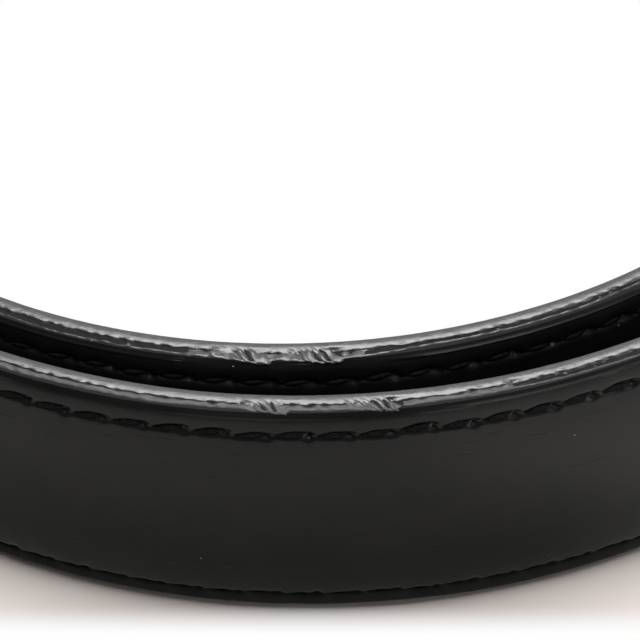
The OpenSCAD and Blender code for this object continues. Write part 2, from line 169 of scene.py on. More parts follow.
def face_rise(s, inset):
    """How far the filler raises the face: the lower of a cubic crown and a slope from each end.

    The change from one to the other is smooth: each is taken to the power -5, and their sum to
    -1/5.
    """
    sharpness, least = 5.0, 1e-6
    crown = padding_t * (1 - (1 - np.clip(inset, 0, half_w) / half_w) ** 3)
    slope = padding_t / skive_l * np.maximum(least, np.minimum(s - padding_start, point_s - s))
    return (np.maximum(crown, least) ** -sharpness + slope**-sharpness) ** (-1 / sharpness)


def stations(start, end, coarse, fine, spots=()):
    """Places along the strap at even steps, finer where the turns pass the front and at spots.

    A spot is (centre, reach, step).
    """
    places = np.arange(start, end, coarse)
    for centre, reach, step in ((front_s, 38, fine), (rear_s, 38, fine), *spots):
        places = places[abs(places - centre) > reach]
        places = np.append(places, np.arange(centre - reach, centre + reach, step))
    return np.append(np.sort(places), end)


def lengths(points):
    """The way along a line of points up to each of them: the sum of the straight steps."""
    steps = np.linalg.norm(np.diff(points, axis=0), axis=1)
    return np.concatenate([[0], np.cumsum(steps)])


def walls(grid, ring=False):
    """Faces round tubes, from their points' numbers as [..., along, around].

    Each face joins a point, the next one round, and the same two one step along. A ring is closed
    along as well.
    """
    a, b = (grid, np.roll(grid, -1, -2)) if ring else (grid[..., :-1, :], grid[..., 1:, :])
    return np.stack([a, np.roll(a, -1, -1), np.roll(b, -1, -1), b], -1).reshape(-1, 4).tolist()


def make(name, points, faces, crease, uv=None):
    """The object made of points and faces; uv gives each point's place on its UV map.

    Both are in millimetres. What coincides is merged, the faces are turned outwards, and only
    edges sharper than the crease angle stay sharp.
    """
    mesh = bpy.data.meshes.new(name)
    mesh.from_pydata((points.reshape(-1, 3) / 1000).tolist(), [], faces)
    if uv is not None:
        corners = np.empty(len(mesh.loops), int)
        mesh.loops.foreach_get("vertex_index", corners)
        places = uv.reshape(-1, 2)[corners] / 1000
        mesh.uv_layers.new(name="run").data.foreach_set("uv", places.ravel())
    work = bmesh.new()
    work.from_mesh(mesh)
    bmesh.ops.remove_doubles(work, verts=work.verts, dist=2e-6)
    bmesh.ops.recalc_face_normals(work, faces=work.faces)
    work.to_mesh(mesh)
    work.free()
    mesh.polygons.foreach_set("use_smooth", [True] * len(mesh.polygons))
    mesh.set_sharp_from_angle(angle=np.radians(crease))
    piece = bpy.data.objects.new(name, mesh)
    bpy.context.scene.collection.objects.link(piece)
    return piece


def skin(name, points, run, girth, closed_end=True):
    """A closed tube through a grid of points [along, around]; its UV map is (run, girth).

    The last ring needs no face of its own where the strap has narrowed to its middle line.
    """
    grid = np.arange(points[..., 0].size).reshape(points.shape[:2])
    faces = walls(grid) + [grid[0, ::-1].tolist()] + [grid[-1].tolist()] * closed_end
    uv = np.stack(np.broadcast_arrays(np.asarray(run)[:, None], np.asarray(girth)[None, :]), -1)
    return make(name, points, faces, 45, uv)


def solid(name, *tubes, rings=()):
    """One piece made of closed tubes [along, around, 3]; rings are closed along as well."""
    faces, start, parts = [], 0, (*tubes, *rings)
    for number, points in enumerate(parts):
        grid = start + np.arange(points[..., 0].size).reshape(points.shape[:2])
        ring = number >= len(tubes)
        faces += walls(grid, ring) + ([] if ring else [grid[0, ::-1].tolist(), grid[-1].tolist()])
        start += grid.size
    return make(name, np.concatenate([points.reshape(-1, 3) for points in parts]), faces, 50)


def cut(piece, cutter):
    """Takes the cutter's shape out of the piece, and removes the cutter."""
    change = piece.modifiers.new("cut", "BOOLEAN")
    change.operation, change.solver, change.object = "DIFFERENCE", "EXACT", cutter
    seen_by = bpy.context.evaluated_depsgraph_get()
    done = bpy.data.meshes.new_from_object(piece.evaluated_get(seen_by))
    piece.modifiers.clear()
    piece.data = done
    bpy.data.objects.remove(cutter)


def hole_punches(name):
    """Round cutters at the buckle holes: circles on the back, drawn out along its normal."""
    angle, out = np.linspace(0, 2 * np.pi, 40, endpoint=False), np.array([[-2.0], [7.0]])
    side, height = hole_r * np.cos(angle), half_w + hole_r * np.sin(angle)
    tubes = []
    for s in strap_l - hole_end - hole_pitch * np.arange(hole_count):
        x, y, nx, ny, _ = back_line(np.array([s]))
        place = np.broadcast_arrays(x + out * nx - side * ny, y + out * ny + side * nx, height)
        tubes.append(np.stack(place, -1))
    return solid(name, *tubes)


def slot_cutter(name):
    """The prong's slot through the fold: straight from beyond the fold, then a half circle."""
    angle, out, beyond = np.linspace(0, np.pi, 24), np.array([[-9.0], [9.0]]), [-6.0]
    back = np.concatenate([beyond, slot_l + slot_r * np.sin(angle), beyond])
    height = slot_r * np.concatenate([[1.0], np.cos(angle), [-1.0]])
    place = np.broadcast_arrays(pin_x - pin_out + out, pin_y + back, half_w + lift + height)
    return solid(name, np.stack(place, -1))


class Value:
    """A number that varies over a surface. Arithmetic on it adds Math nodes."""

    def __init__(self, finish, socket):
        self.finish, self.socket = finish, socket

    def math(self, operation, *others):
        """The result of a Math node on this value and the others, in that order."""
        return self.finish.add(
            "ShaderNodeMath", {"operation": operation}, dict(enumerate([self, *others])))

    def __add__(self, other):
        return self.math("ADD", other)

    def __mul__(self, other):
        return self.math("MULTIPLY", other)

    def __sub__(self, other):
        return self.math("SUBTRACT", other)

    def __rsub__(self, other):
        return self.math("MULTIPLY", -1.0).math("ADD", other)

    def __pow__(self, other):
        return self.math("POWER", other)

    __radd__ = __add__
    __rmul__ = __mul__

    def between(self, low, high):
        """0 where the value is low and 1 where it is high, smooth and clamped."""
        return self.finish.add("ShaderNodeMapRange", {"interpolation_type": "SMOOTHSTEP"},
            {"Value": self, "From Min": low, "From Max": high})


class Finish:
    """A material built node by node round one Principled shader with the given fixed sockets."""

    def __init__(self, name, **fixed):
        self.material = bpy.data.materials.new(name)
        self.take(self.material, "Principled BSDF", "Material Output", fixed)

    def take(self, block, shader, end, fixed):
        """Switches on the block's nodes, and finds its shader and its output among them."""
        block.use_nodes = True
        self.tree = block.node_tree
        self.shader, self.end = self.tree.nodes[shader], self.tree.nodes[end]
        for socket, value in fixed.items():
            self.shader.inputs[socket.replace("_", " ")].default_value = value

    def add(self, kind, settings=None, sockets=None, output=0):
        """Adds a node with its settings and its sockets' values or links. Gives its output."""
        node = self.tree.nodes.new(kind)
        for key, value in (settings or {}).items():
            setattr(node, key, value)
        for key, value in (sockets or {}).items():
            if isinstance(value, Value):
                self.tree.links.new(value.socket, node.inputs[key])
            else:
                node.inputs[key].default_value = value
        return Value(self, node.outputs[output])

    def feed(self, socket, value):
        """Links a value to one of the shader's sockets."""
        self.tree.links.new(value.socket, self.shader.inputs[socket])

    def show(self, value):
        """Makes a shader the one that is seen."""
        self.tree.links.new(value.socket, self.end.inputs["Surface"])

    def plain(self):
        """What the given shader shows, to be mixed with others."""
        return Value(self, self.shader.outputs[0])

    def place(self, scale=(1, 1, 1), uv=None):
        """Object coordinates, or a UV map's, stretched by a scale."""
        if uv:
            start = self.add("ShaderNodeUVMap", {"uv_map": uv})
        else:
            start = self.add("ShaderNodeTexCoord", output="Object")
        return self.add("ShaderNodeMapping", {}, {"Vector": start, "Scale": scale})

    def axis(self, place, letter):
        """One coordinate of a place."""
        return self.add("ShaderNodeSeparateXYZ", {}, {"Vector": place}, letter)

    def noise(self, place, scale, detail=2.0, rough=0.5):
        """Cloudy noise from 0 to 1, with its grain count per metre."""
        return self.add("ShaderNodeTexNoise", {},
            {"Vector": place, "Scale": scale, "Detail": detail, "Roughness": rough})

    def cells(self, place, scale):
        """Distance to the nearest of a scatter of points, in cells."""
        return self.add("ShaderNodeTexVoronoi", {}, {"Vector": place, "Scale": scale})

    def shade(self, value, dark, light):
        """The dark colour where the value is 0 and the light one where it is 1, mixed between."""
        factor, first, second, result = 0, 6, 7, 2
        dark = dark if isinstance(dark, Value) else (*dark, 1)
        return self.add("ShaderNodeMix", {"data_type": "RGBA"},
            {factor: value, first: dark, second: (*light, 1)}, result)

    def raise_by(self, height, distance, strength):
        """Feeds a height in units of distance to the normal."""
        self.feed("Normal", self.add("ShaderNodeBump", {},
            {"Height": height, "Distance": distance, "Strength": strength}))

    def on(self, *objects):
        """Puts the material on each piece."""
        for piece in objects:
            piece.data.materials.clear()
            piece.data.materials.append(self.material)


def fold_line(length):
    """The face leather's inner line past the pin: [out, back along the strap, normal's angle].

    It wraps the pin through a little over half a turn, closes in on the strap and runs on as the
    flap: the angle is the length over the fold's radius, and the place is the sum of small steps
    that way.
    """
    step = 0.02
    run = np.arange(0, 60, step)
    angle = (fold_turn - np.pi) * ease(run, 10, 14) - np.minimum(run / fold_r, fold_turn)
    ways = np.cos(angle[:-1] - np.pi / 2), np.sin(angle[:-1] - np.pi / 2)
    out, back = (np.concatenate([[0], np.cumsum(way) * step]) for way in ways)
    return [np.interp(length, run, v) for v in (lining_t + out, back, angle)]


# Sizes of the stitches, which the leather's channels and holes share with the thread, and of the
# face's margin. The quirks are four random numbers for each stitch: how far it is shifted, how
# deep it lies, its slant, and its hole or its girth.
stitch_pitch, stitch_start = 3.84, 5.2
upper_row, lower_row, row_shift = 2.64, 3.4, 0.07
stitch_quirks = np.random.default_rng(8).standard_normal((400, 4))
channel_depth, channel_lean, channel_wide = 0.3, 0.34, 0.19
needle_depth, needle_share = 0.5, 0.83
edge_drop, edge_reach = 0.34, 0.32
swell_h, swell_at = 0.13, 1.3
line_h, line_at = 0.14, 0.69


def face_insets(upper):
    """Insets at which the face is sampled, from its edge to the middle.

    They are close together at the raised line beside the paint and at the stitches.
    """
    margin = [0.3, 0.46, 0.57, 0.64, 0.69, 0.74, 0.82, 1.0, 1.3, 1.7]
    stitches = [-0.6, -0.42, -0.29, -0.17, -0.05, 0.07, 0.19, 0.32, 0.46, 0.62, 0.85]
    row = upper_row if upper else lower_row
    return np.array([*margin, *(row + np.array(stitches)), 5.0, 6.4, 8.6, 11.4, 15.0])


def curled(s):
    """How far the lower margin curls under: an eased step from 1 at the outer front to 0."""
    return ease(abs(s - front_s), 70, 40)


def face_out(s, inset, upper):
    """Height of the face above the strap's back.

    It is the sum of the crown, the rounded edge, a swell in the margin, a fine raised line beside
    the paint, the channel that each stitch lies in, and the needle hole at the stitch's end. The
    channel is a bell across the row, which leans and is widest at the middle of the stitch, and
    the hole is a bell both ways.
    """
    row, seed = (upper_row, 3) if upper else (lower_row, 5)
    curl = 0 if upper else curled(s)
    out = edge_t + face_rise(s, inset) + swell_h * bump(inset - swell_at, 0.8)
    out = out - rounding(inset, edge_drop + 0.5 * curl, edge_reach + 0.4 * curl)

    line = 0.2 + 0.3 * ripple(seed, s, 0 * s, 80, 25, 9)
    for centre in (front_s, rear_s):
        line = line + ease(s - centre, 3, 12) * ease(s - centre, 70, 50)
    out = out + line_h * np.clip(line, 0, 1) * bump(inset - line_at, 0.1)

    number, share = np.divmod((s - stitch_start) / stitch_pitch, 1)
    quirk = stitch_quirks[number.astype(int) % len(stitch_quirks)]
    shift, depth, droop, pit = (quirk[..., k] for k in range(4))
    row = row + row_shift * shift
    drawn = ease(share, -0.04, 0.1) * ease(share, 0.93, 0.77) + ease(share, 0.97, 1.07)
    drawn = 0.35 + 0.65 * drawn
    lean = (channel_lean + 0.1 * droop) * share - 0.12
    wide = channel_wide + (0.19 + 0.05 * depth) * np.sin(np.pi * share) ** 2
    out = out - (channel_depth + 0.05 * depth) * drawn * bump(inset - row + lean, wide)
    hole = bump(share - needle_share - 0.015 * depth, 0.115 + 0.015 * shift)
    hole = hole * bump(inset - row - 0.1 - 0.05 * pit, 0.33)
    out = out - (needle_depth + 0.08 * pit) * hole
    return out + 0.012 * ease(strap_l - s, 0, 3) * ripple(seed + 1, s, inset, 9, 1.6)


def face_half(s, upper):
    """One half of the face's outer surface, from its edge to the middle line."""
    inset = face_insets(upper)
    return on_strap(s, inset, face_out(s, inset, upper), upper)


def face_inside(s, inset, upper):
    """The face's inner surface, which lies on the lining and on the filler's crown."""
    return on_strap(s, inset, lining_t + face_rise(s, inset), upper)


# The section goes up the outer surface and down the inner one. It is carried along the strap, and
# round the fold and along the flap, where the leather is flat and follows the fold's line.
columns = stations(0, strap_l, stitch_pitch / 4, stitch_pitch / 16)
flap = np.concatenate([np.arange(flap_l, 13, -0.9), np.arange(12.7, 0, -0.45)])
s = columns[:, None]
under = np.array([15.0, 8.0, 3.0, 0.3])
strip = np.concatenate([
    face_half(s, False), face_half(s, True)[:, -2::-1],
    face_inside(s, under[::-1], True), face_inside(s, under[1:], False),
], 1)
outer_heights = np.concatenate([face_insets(False), strap_w - face_insets(True)[-2::-1]])
heights = np.concatenate([outer_heights, strap_w - under[::-1], under[1:]])
outside = np.arange(len(heights)) < len(outer_heights)
rounded_t = face_t - rounding(np.minimum(heights, strap_w - heights), edge_drop, edge_reach)
thickness = np.maximum(outside * rounded_t, 0)
out, back, angle = (v[:, None] for v in fold_line(flap))
turned = np.stack([
    pin_x - pin_out + out + thickness * np.cos(angle),
    pin_y + back + thickness * np.sin(angle),
    heights + lift + 0 * out,
], -1)
girth = np.cumsum(np.concatenate([[0], abs(np.diff(heights)) + abs(np.diff(thickness))]))
run = np.concatenate([-flap, columns])
face = skin("face_leather_strap", np.concatenate([turned, strip]), run, girth, False)
cut(face, hole_punches("punch"))
cut(face, slot_cutter("slot"))

# Calf: a cloudy black with pebbled grain, fine scratches along the strap and a few specks of
# dust. The strip beside the lower edge is scuffed dull.
leather = Finish("satin_black_calf", Base_Color=(0.0075, 0.0073, 0.0072, 1), Roughness=0.4,
    Specular_IOR_Level=0.3)
at = leather.place()
mottle = leather.noise(at, 140, 3)
grain = leather.cells(at, 2600)
streaks = leather.noise(leather.place((60, 900, 1), "run"), 1.0, 3, 0.6)
dust = leather.cells(at, 290).between(0.022, 0.014)
cloudy = mottle.between(0.3, 0.75)
black = leather.shade(cloudy, (0.0045, 0.0044, 0.0042), (0.007, 0.0067, 0.0063))
leather.feed("Base Color", leather.shade(dust, black, (0.4, 0.39, 0.37)))
scuffed = leather.axis(leather.place(uv="run"), "Y").between(0.0038, 0.003)
leather.feed("Roughness", mottle * 0.07 + streaks * 0.05 + scuffed * 0.45 + 0.25)
fine = leather.noise(leather.place((160, 2400, 1), "run"), 1.0, 2, 0.7).between(0.62, 0.72)
some = leather.noise(leather.place((45, 300, 1), "run"), 1.0, 1).between(0.5, 0.6)
pores = leather.noise(at, 900, 2)
leather.raise_by(grain * 0.35 + pores * 0.8 + streaks * 0.5 - fine * some * 5.0, 0.00002, 0.35)
leather.on(face)
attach(face, "strap")
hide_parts("face_leather")


# Filler core
# Bonded leather fibre, moulded to a crown and glued between the plies. It shows only on the walls
# of the buckle holes, as a brown layer dulled by the black dye that runs in when they are punched.
filler = Finish("bonded_fibre", Base_Color=(0.05, 0.038, 0.028, 1), Roughness=0.9)
fibre = filler.noise(filler.place(), 900, 4)
filler.feed("Base Color", filler.shade(fibre, (0.02, 0.016, 0.012), (0.09, 0.065, 0.045)))
filler.feed("Roughness", fibre * 0.2 + 0.78)
filler.raise_by(fibre, 0.0001, 0.6)
filler.on(nodes["filler_core"])


# Lining
# The inner ply: a plain, matt black leather with a fine pebbled grain, one millimetre thick. It
# ends square just before the fold at the buckle.
lining_start, row_groove, row_pit = 5.0, 0.12, 0.3
lining_insets = np.array([0.3, 0.4, 0.6, 1.0, 1.8, 2.4, 2.75, 3.0, 3.25, 3.6, 4.4, 6.5, 10, 15])
lining_columns = stations(lining_start, strap_l, stitch_pitch / 4, stitch_pitch / 8)


def lining_back(s, inset, row):
    """How deep the lining's back surface lies.

    It is the sum of its rounded edge, a groove along the row, which is a bell across it, and a
    pit where the needle came through, a bell both ways.
    """
    away = (s - stitch_start + 0.5 * stitch_pitch) % stitch_pitch - 0.5 * stitch_pitch
    groove = row_groove * bump(inset - row, 0.4)
    pit = row_pit * bump(away, 0.6) * bump(inset - row, 0.35)
    return rounding(inset, 0.25, 0.25) + groove + pit


def lining_half(s, upper):
    """One half of the lining's back surface, from its edge to the middle line."""
    row = upper_row if upper else lower_row
    return on_strap(s, lining_insets, lining_back(s, lining_insets, row), upper)


s = lining_columns[:, None]
front = np.array([15.0, 0.3])
strip = np.concatenate([
    lining_half(s, False), lining_half(s, True)[:, -2::-1],
    on_strap(s, front[::-1], lining_t, True), on_strap(s, front[1:], lining_t, False),
], 1)
girth = np.concatenate([
    lining_insets, strap_w - lining_insets[-2::-1], strap_w + 2 - front[::-1], [strap_w + 20]])
lining = skin("lining_leather_strip", strip, lining_columns, girth, False)
cut(lining, hole_punches("punch"))
cut(lining, slot_cutter("slot"))
matt = Finish("matt_black_lining", Base_Color=(0.018, 0.0175, 0.017, 1), Roughness=0.62,
    Specular_IOR_Level=0.35)
at = matt.place()
pebbles = matt.cells(at, 1500)
matt.feed("Base Color",
    matt.shade(matt.noise(at, 220, 3), (0.013, 0.0125, 0.012), (0.024, 0.023, 0.022)))
matt.feed("Roughness", matt.noise(at, 300, 2) * 0.14 + 0.55)
matt.raise_by(pebbles * 0.8 + matt.noise(at, 1800, 2) * 0.4, 0.00005, 0.6)
matt.on(lining)
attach(lining, "strap")
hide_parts("lining_leather")


# Edge paint
# Glossy black paint, brushed on in coats over both plies: a broad dome on the lining and a narrow
# ridge on the face, with a ragged seam between them, and creases where the strap bends.

# The coat's section, as (across from the back to the face, below the top of the edge).
paint_section = np.array([
    (-0.03, 0.85), (-0.05, 0.4), (0.0, 0.16), (0.13, 0.03), (0.38, 0.0), (0.66, 0.01),
    (0.9, 0.045), (1.08, 0.1), (1.17, 0.16), (1.22, 0.25), (1.28, 0.19), (1.38, 0.16),
    (1.5, 0.145), (1.62, 0.16), (1.74, 0.21), (1.86, 0.32), (2.02, 0.57), (2.08, 0.85),
    (1.1, 0.9)])
seam_at = 1.22
coat_bottom, bare_level = 0.285, 0.39
groove_depth, hollow_depth, dent_depth = 0.14, 0.11, 0.3
bulge_out, curl_in = 0.42, 0.32
coil_x, coil_y = -0.009, 0.0106


def outline(points, count):
    """A closed curve through the points, at count places: a Catmull-Rom spline of cubics."""
    t = np.linspace(0, len(points), count, endpoint=False)
    k = t.astype(int)
    f = (t - k)[:, None]
    a, b, c, d = (points[(k + shift) % len(points)] for shift in (-1, 0, 1, 2))
    linear, square, cube = c - a, 2 * a - 5 * b + 4 * c - d, 3 * b - a - 3 * c + d
    return 0.5 * (2 * b + linear * f + square * f**2 + cube * f**3)


def pleats(s, across, places):
    """Short stretches where the coat has gathered into slanting pleats that bridge the seam.

    A place is (centre, length, pitch, slant, hook), and its hook is the share of its dent. Gives
    how far the coat has swelled out there; the grooves between the pleats, a raised cosine to the
    power 1.8, both growing along the stretch; and the dent that is left where it ends, a step down
    that fades away exponentially along the edge.
    """
    swelled, grooves, dent = (np.zeros(np.broadcast(s, across).shape) for _ in range(3))
    for centre, length, pitch, slant, hook in places:
        run = s - centre - slant * (across - 1.2)
        into, past = run + 0.5 * length, run - 0.5 * length
        grown = 0.2 + 0.8 * ease(into, 0, 0.85 * length)
        window = ease(into, -0.8, 1.0) * ease(past, 0, -0.5) * grown
        swelled = np.maximum(swelled, window)
        bent = past + 0.22 * ripple(int(10 * centre), s, across, 6, 2.5)
        grooves += window * (0.5 + 0.5 * np.cos(2 * np.pi * bent / pitch)) ** 1.8
        dent += hook * ease(past, -0.15, 0.2) * np.exp(-np.maximum(past, 0) / 1.1)
    return swelled, grooves, dent


def paint(name, upper, seed, places):
    """One painted edge, from the end of the lining round half of the point.

    The section is carried along the strap, and its level and place across are changed by sums of
    eased steps, bells and ripples. Its seam and the ridge beyond it wander and are ragged. In the
    pleated stretches it turns into one slope, with grooves and a hollow at the bottom of each. In
    the worn stretches a band beside the seam drops below the leather's top, which bares the
    leather.
    """
    section = outline(paint_section, 46)
    spots = [(place[0], 5, 0.1) for place in places]
    s = stations(lining_start, strap_l, 0.8, 0.25, spots)[:, None]
    across, below = section[None, :, 0], section[None, :, 1]
    past_front, past_rear = s - front_s, s - rear_s
    on_top = ease(below, 0.62, 0.32) * ease(strap_l - s, 0, 2)
    seam, ridge = bump(across - seam_at, 0.2), ease(across, 1.2, 1.5)

    # How ragged the coat is, and how far its seam and its ridge wander across.
    near = ease(np.minimum(abs(past_front), abs(past_rear)), 40, 36)
    flaws = near * (0.012 + 0.02 * ridge + 0.025 * seam) * ripple(seed + 1, s, across, 2.4, 0.7)
    ragged = (0.016 * ripple(seed, s, across, 9, 2.0) + flaws) * (0.35 + 1.4 * seam + ridge)
    rear = ease(abs(past_rear), 60, 40)
    right_front = ease(past_front, 12, 19) * ease(past_front, 75, 65)
    wider = rear * (0.22 - 0.24 * ease(past_rear, 2, 8)) + 0.16 * right_front
    wider = wider + 0.09 * ripple(seed + 3, s, 0 * across, 30, 4)
    wander = 0.055 * ripple(seed + 2, s, 0 * across, 2.6, 0.7) * seam + ridge * wider

    # Pleats: one slope in place of dome and ridge, grooves with hollows, and the dent at the end.
    swelled, grooves, dent = pleats(s, across, places)
    slope = 0.02 + 0.15 * np.clip((across - 0.6) / 1.14, 0, 1) ** 1.4
    slope = slope - np.where(across > 1.74, 0.21, below)
    level = below + np.minimum(1, 2 * swelled) * ease(across, 0.5, 0.7) * slope
    deep = groove_depth * ease(across, 0.6, 1.3) * (1 - 0.4 * ease(across, 1.5, 1.9))
    hollow = ease(grooves, 0.6, 0.9) * ease(across, 0.95, 1.1) * ease(across, 1.66, 1.46)
    level = level + deep * grooves + hollow_depth * hollow
    level = level + dent_depth * dent * ease(across, 0.7, 0.95) * ease(across, 1.9, 1.4)

    # Worn bands: on both sides of the rear turn, and at the right of the front turn.
    worn = rear * (ease(past_rear, -11, -15) + ease(past_rear, 2, 5)) + 0.9 * right_front
    worn = worn * (1 - swelled) * ease(across, 1.24, 1.3) * ease(across, 1.68, 1.6)
    level = level + worn * (bare_level - level)
    bulge = ease(across, 0.9, 1.7) * swelled
    level = level - ragged + 0.05 * bulge
    across = across + (wander + bulge_out * bulge) * on_top

    # Elsewhere the coat covers the leather's top. Its lower margin follows the curl.
    deepest = coat_bottom + 2 * np.maximum(across - 2.02, 0)
    deepest = deepest + ease(swelled, 1 / 3, 0) + dent + 0.2 * hollow
    inset = np.maximum(below + (np.minimum(level, deepest) - below) * on_top, 0.004)
    if not upper:
        across = across - curl_in * curled(s) * ease(across, 1.0, 1.9)
    return skin(name, on_strap(s, inset, across, upper), s[:, 0], lengths(section))


def from_middle(finish, place):
    """Distance from the coil's middle in plan: the root of the sum of the squares of x and y."""
    x, y = finish.axis(place, "X") - coil_x, finish.axis(place, "Y") - coil_y
    return (x**2.0 + y**2.0) ** 0.5


# Where the coat has gathered, as (centre, length, pitch, slant, hook).
gathered = {
    "upper_edge_paint": [
        (front_s - 9.0, 4.8, 1.2, 1.3, 0.35), (front_s + 1.2, 5.0, 0.9, 1.4, 1.0),
        (rear_s - 8.7, 4.8, 1.25, 1.7, 0.3), (rear_s - 2.2, 5.6, 0.9, 1.5, 1.0),
        (front_s + 15.2, 0.2, 0.9, 0.5, 0.7), (205, 5, 1.2, 1.1, 0.6)],
    "lower_edge_paint": [(250, 5, 1.2, 1.1, 0.6), (620, 5, 1.2, -1.1, 0.4)],
}

# The paint is brushed on in smears. It is duller where the ridge lies on the face leather, less so
# on the inner turn and at the right of the front, and dullest where the belt stands on the floor.
gloss = Finish("edge_paint", Base_Color=(0.012, 0.012, 0.0125, 1), Roughness=0.25,
    Specular_IOR_Level=1.0, IOR=1.62)
at = gloss.place()
smear = gloss.noise(gloss.place((500, 2500, 1), "run"), 1.0, 4, 0.6)
over_face = gloss.axis(gloss.place(uv="run"), "Y").between(0.002, 0.0024)
standing = gloss.axis(at, "Z").between(0.004, 0.001)
inner_turn = from_middle(gloss, at).between(0.0747, 0.0735)
right = gloss.axis(at, "X").between(0.012, 0.03)
dull = over_face * (0.3 - inner_turn * 0.24 - right * 0.12) + standing * 0.4
gloss.feed("Roughness", smear * 0.16 + gloss.noise(at, 700, 2) * 0.1 + dull + 0.22)
gloss.feed("Base Color",
    gloss.shade(gloss.noise(at, 400, 3), (0.008, 0.008, 0.0085), (0.018, 0.0175, 0.018)))
pits = gloss.noise(at, 2500, 3) * 0.5 + gloss.noise(at, 6500, 2) * 0.45
gloss.raise_by(smear * 0.8 + pits, 0.00005, 0.62)
for name, upper, seed in (("upper_edge_paint", True, 11), ("lower_edge_paint", False, 21)):
    piece = paint(name + "_coat", upper, seed, gathered[name])
    gloss.on(piece)
    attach(piece, "strap")
    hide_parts(name)


# Stitching
# Waxed black polyester lock stitch, four millimetres a stitch, drawn down into the leather at the
# needle holes. The face row's stitches lie askew one way and the back row's the other.
row_end = strap_l - 1.2
stitch_count = int((row_end - stitch_start) / stitch_pitch)
thread_half_w, thread_half_t, arch_h, end_depth = 0.28, 0.24, 0.32, 0.5


def stitch_row(name, upper, back):
    """One row: each stitch is a flattened spindle, arched between two needle holes.

    Its middle line leans across the row, its ends dive below the leather, and its girth is the
    root of one less the cube of the way from its middle. On the face it fills the first four
    fifths of the stitch and goes down into the hole at the end.
    """
    row = upper_row if upper else lower_row
    middle, half, lean = (0.5, 0.48, 0.2) if back else (0.4, 0.41, -0.15)
    x = np.linspace(-1, 1, 8)[None, :, None]
    turn = np.linspace(0, 2 * np.pi, 7, endpoint=False)
    shift, depth, droop, swell = (stitch_quirks[:stitch_count, k, None, None] for k in range(4))
    centre = stitch_start + stitch_pitch * (np.arange(stitch_count) + middle)
    girth = np.sqrt(np.maximum(0.02, 1 - abs(x) ** 3)) * (1 + 0.08 * swell)
    s = centre[:, None, None] + half * stitch_pitch * x
    inset = row + row_shift * shift + (lean - 0.05 * droop) * x
    inset = inset + thread_half_w * girth * np.cos(turn)
    inset, s = np.broadcast_arrays(inset, s)
    rise = arch_h * (1 - x**2) ** 0.7 - end_depth - 0.03 * depth
    rise = rise + thread_half_t * girth * np.sin(turn)
    points = on_strap(s, inset, -rise if back else edge_t + face_rise(s, inset) + rise, upper)
    grid = np.arange(points[..., 0].size).reshape(points.shape[:3])
    caps = np.concatenate([grid[:, 0, ::-1], grid[:, -1, :]]).tolist()
    return make(name, points, walls(grid) + caps, 70)


thread = Finish("waxed_thread", Base_Color=(0.008, 0.008, 0.008, 1), Roughness=0.6,
    Specular_IOR_Level=0.1)
at = thread.place()
fibres = thread.noise(at, 3200, 3, 0.7).between(0.35, 0.7)
thread.feed("Base Color", thread.shade(fibres, (0.001, 0.001, 0.001), (0.009, 0.0087, 0.0084)))
thread.feed("Roughness", thread.noise(at, 2200, 2) * 0.3 + 0.5)
thread.raise_by(thread.noise(at, 3500, 3), 0.00012, 0.8)
rows = [("upper_needle_thread", True, False), ("lower_needle_thread", False, False),
    ("upper_bobbin_thread", True, True), ("lower_bobbin_thread", False, True)]
for name, upper, back in rows:
    piece = stitch_row(name + "_stitches", upper, back)
    thread.on(piece)
    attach(piece, "strap")
    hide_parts(name)


# Keepers
# Two loops of the same calf, ten millimetres wide, creased along both edges and butted at the back
# with two staples each. One is held between the strap and the flap, and the other slides.
keeper_t, keeper_bend = 1.3, 1.75
staple_half, staple_at, staple_dent = 4.3, 2, 0.16

# Their section, as (along the strap, out from the leather's middle).
keeper_section = np.array([
    (-5.0, -0.3), (-5.0, 0.25), (-4.88, 0.5), (-4.6, 0.62), (-4.32, 0.61), (-4.18, 0.5),
    (-4.04, 0.61), (-3.6, 0.65), (-2.5, 0.65), (-2.35, 0.65), (-2.0, 0.65), (-1.65, 0.65),
    (-1.5, 0.65), (0, 0.65), (1.5, 0.65), (1.65, 0.65), (2.0, 0.65), (2.35, 0.65),
    (2.5, 0.65), (3.6, 0.65), (4.04, 0.61), (4.18, 0.5), (4.32, 0.61), (4.6, 0.62),
    (4.88, 0.5), (5.0, 0.25), (5.0, -0.3), (4.8, -0.58), (4.3, -0.65), (0, -0.65),
    (-4.3, -0.65), (-4.8, -0.58)])


def loop_line(width, height):
    """Half of a round-cornered rectangle from the middle of a side: [x, z, normal's angle]."""
    turn = np.linspace(0, np.pi / 2, 10)
    x, z = width / 2 - keeper_bend, height / 2 - keeper_bend
    rise, run = np.linspace(0.1, z, 26)[:-1], np.linspace(-x, x, 10)[1:-1]
    round_x, round_z = keeper_bend * np.cos(turn), keeper_bend * np.sin(turn)
    back = np.stack([0 * rise - width / 2, rise, 0 * rise + np.pi], -1)
    first = np.stack([-x - round_x, z + round_z, np.pi - turn], -1)
    top = np.stack([run, 0 * run + height / 2, 0 * run + np.pi / 2], -1)
    second = np.stack([x + round_z, z + round_x, np.pi / 2 - turn], -1)
    front = np.stack([0 * rise + width / 2, rise[::-1], 0 * rise], -1)
    return np.concatenate([back, first, top, second, front])


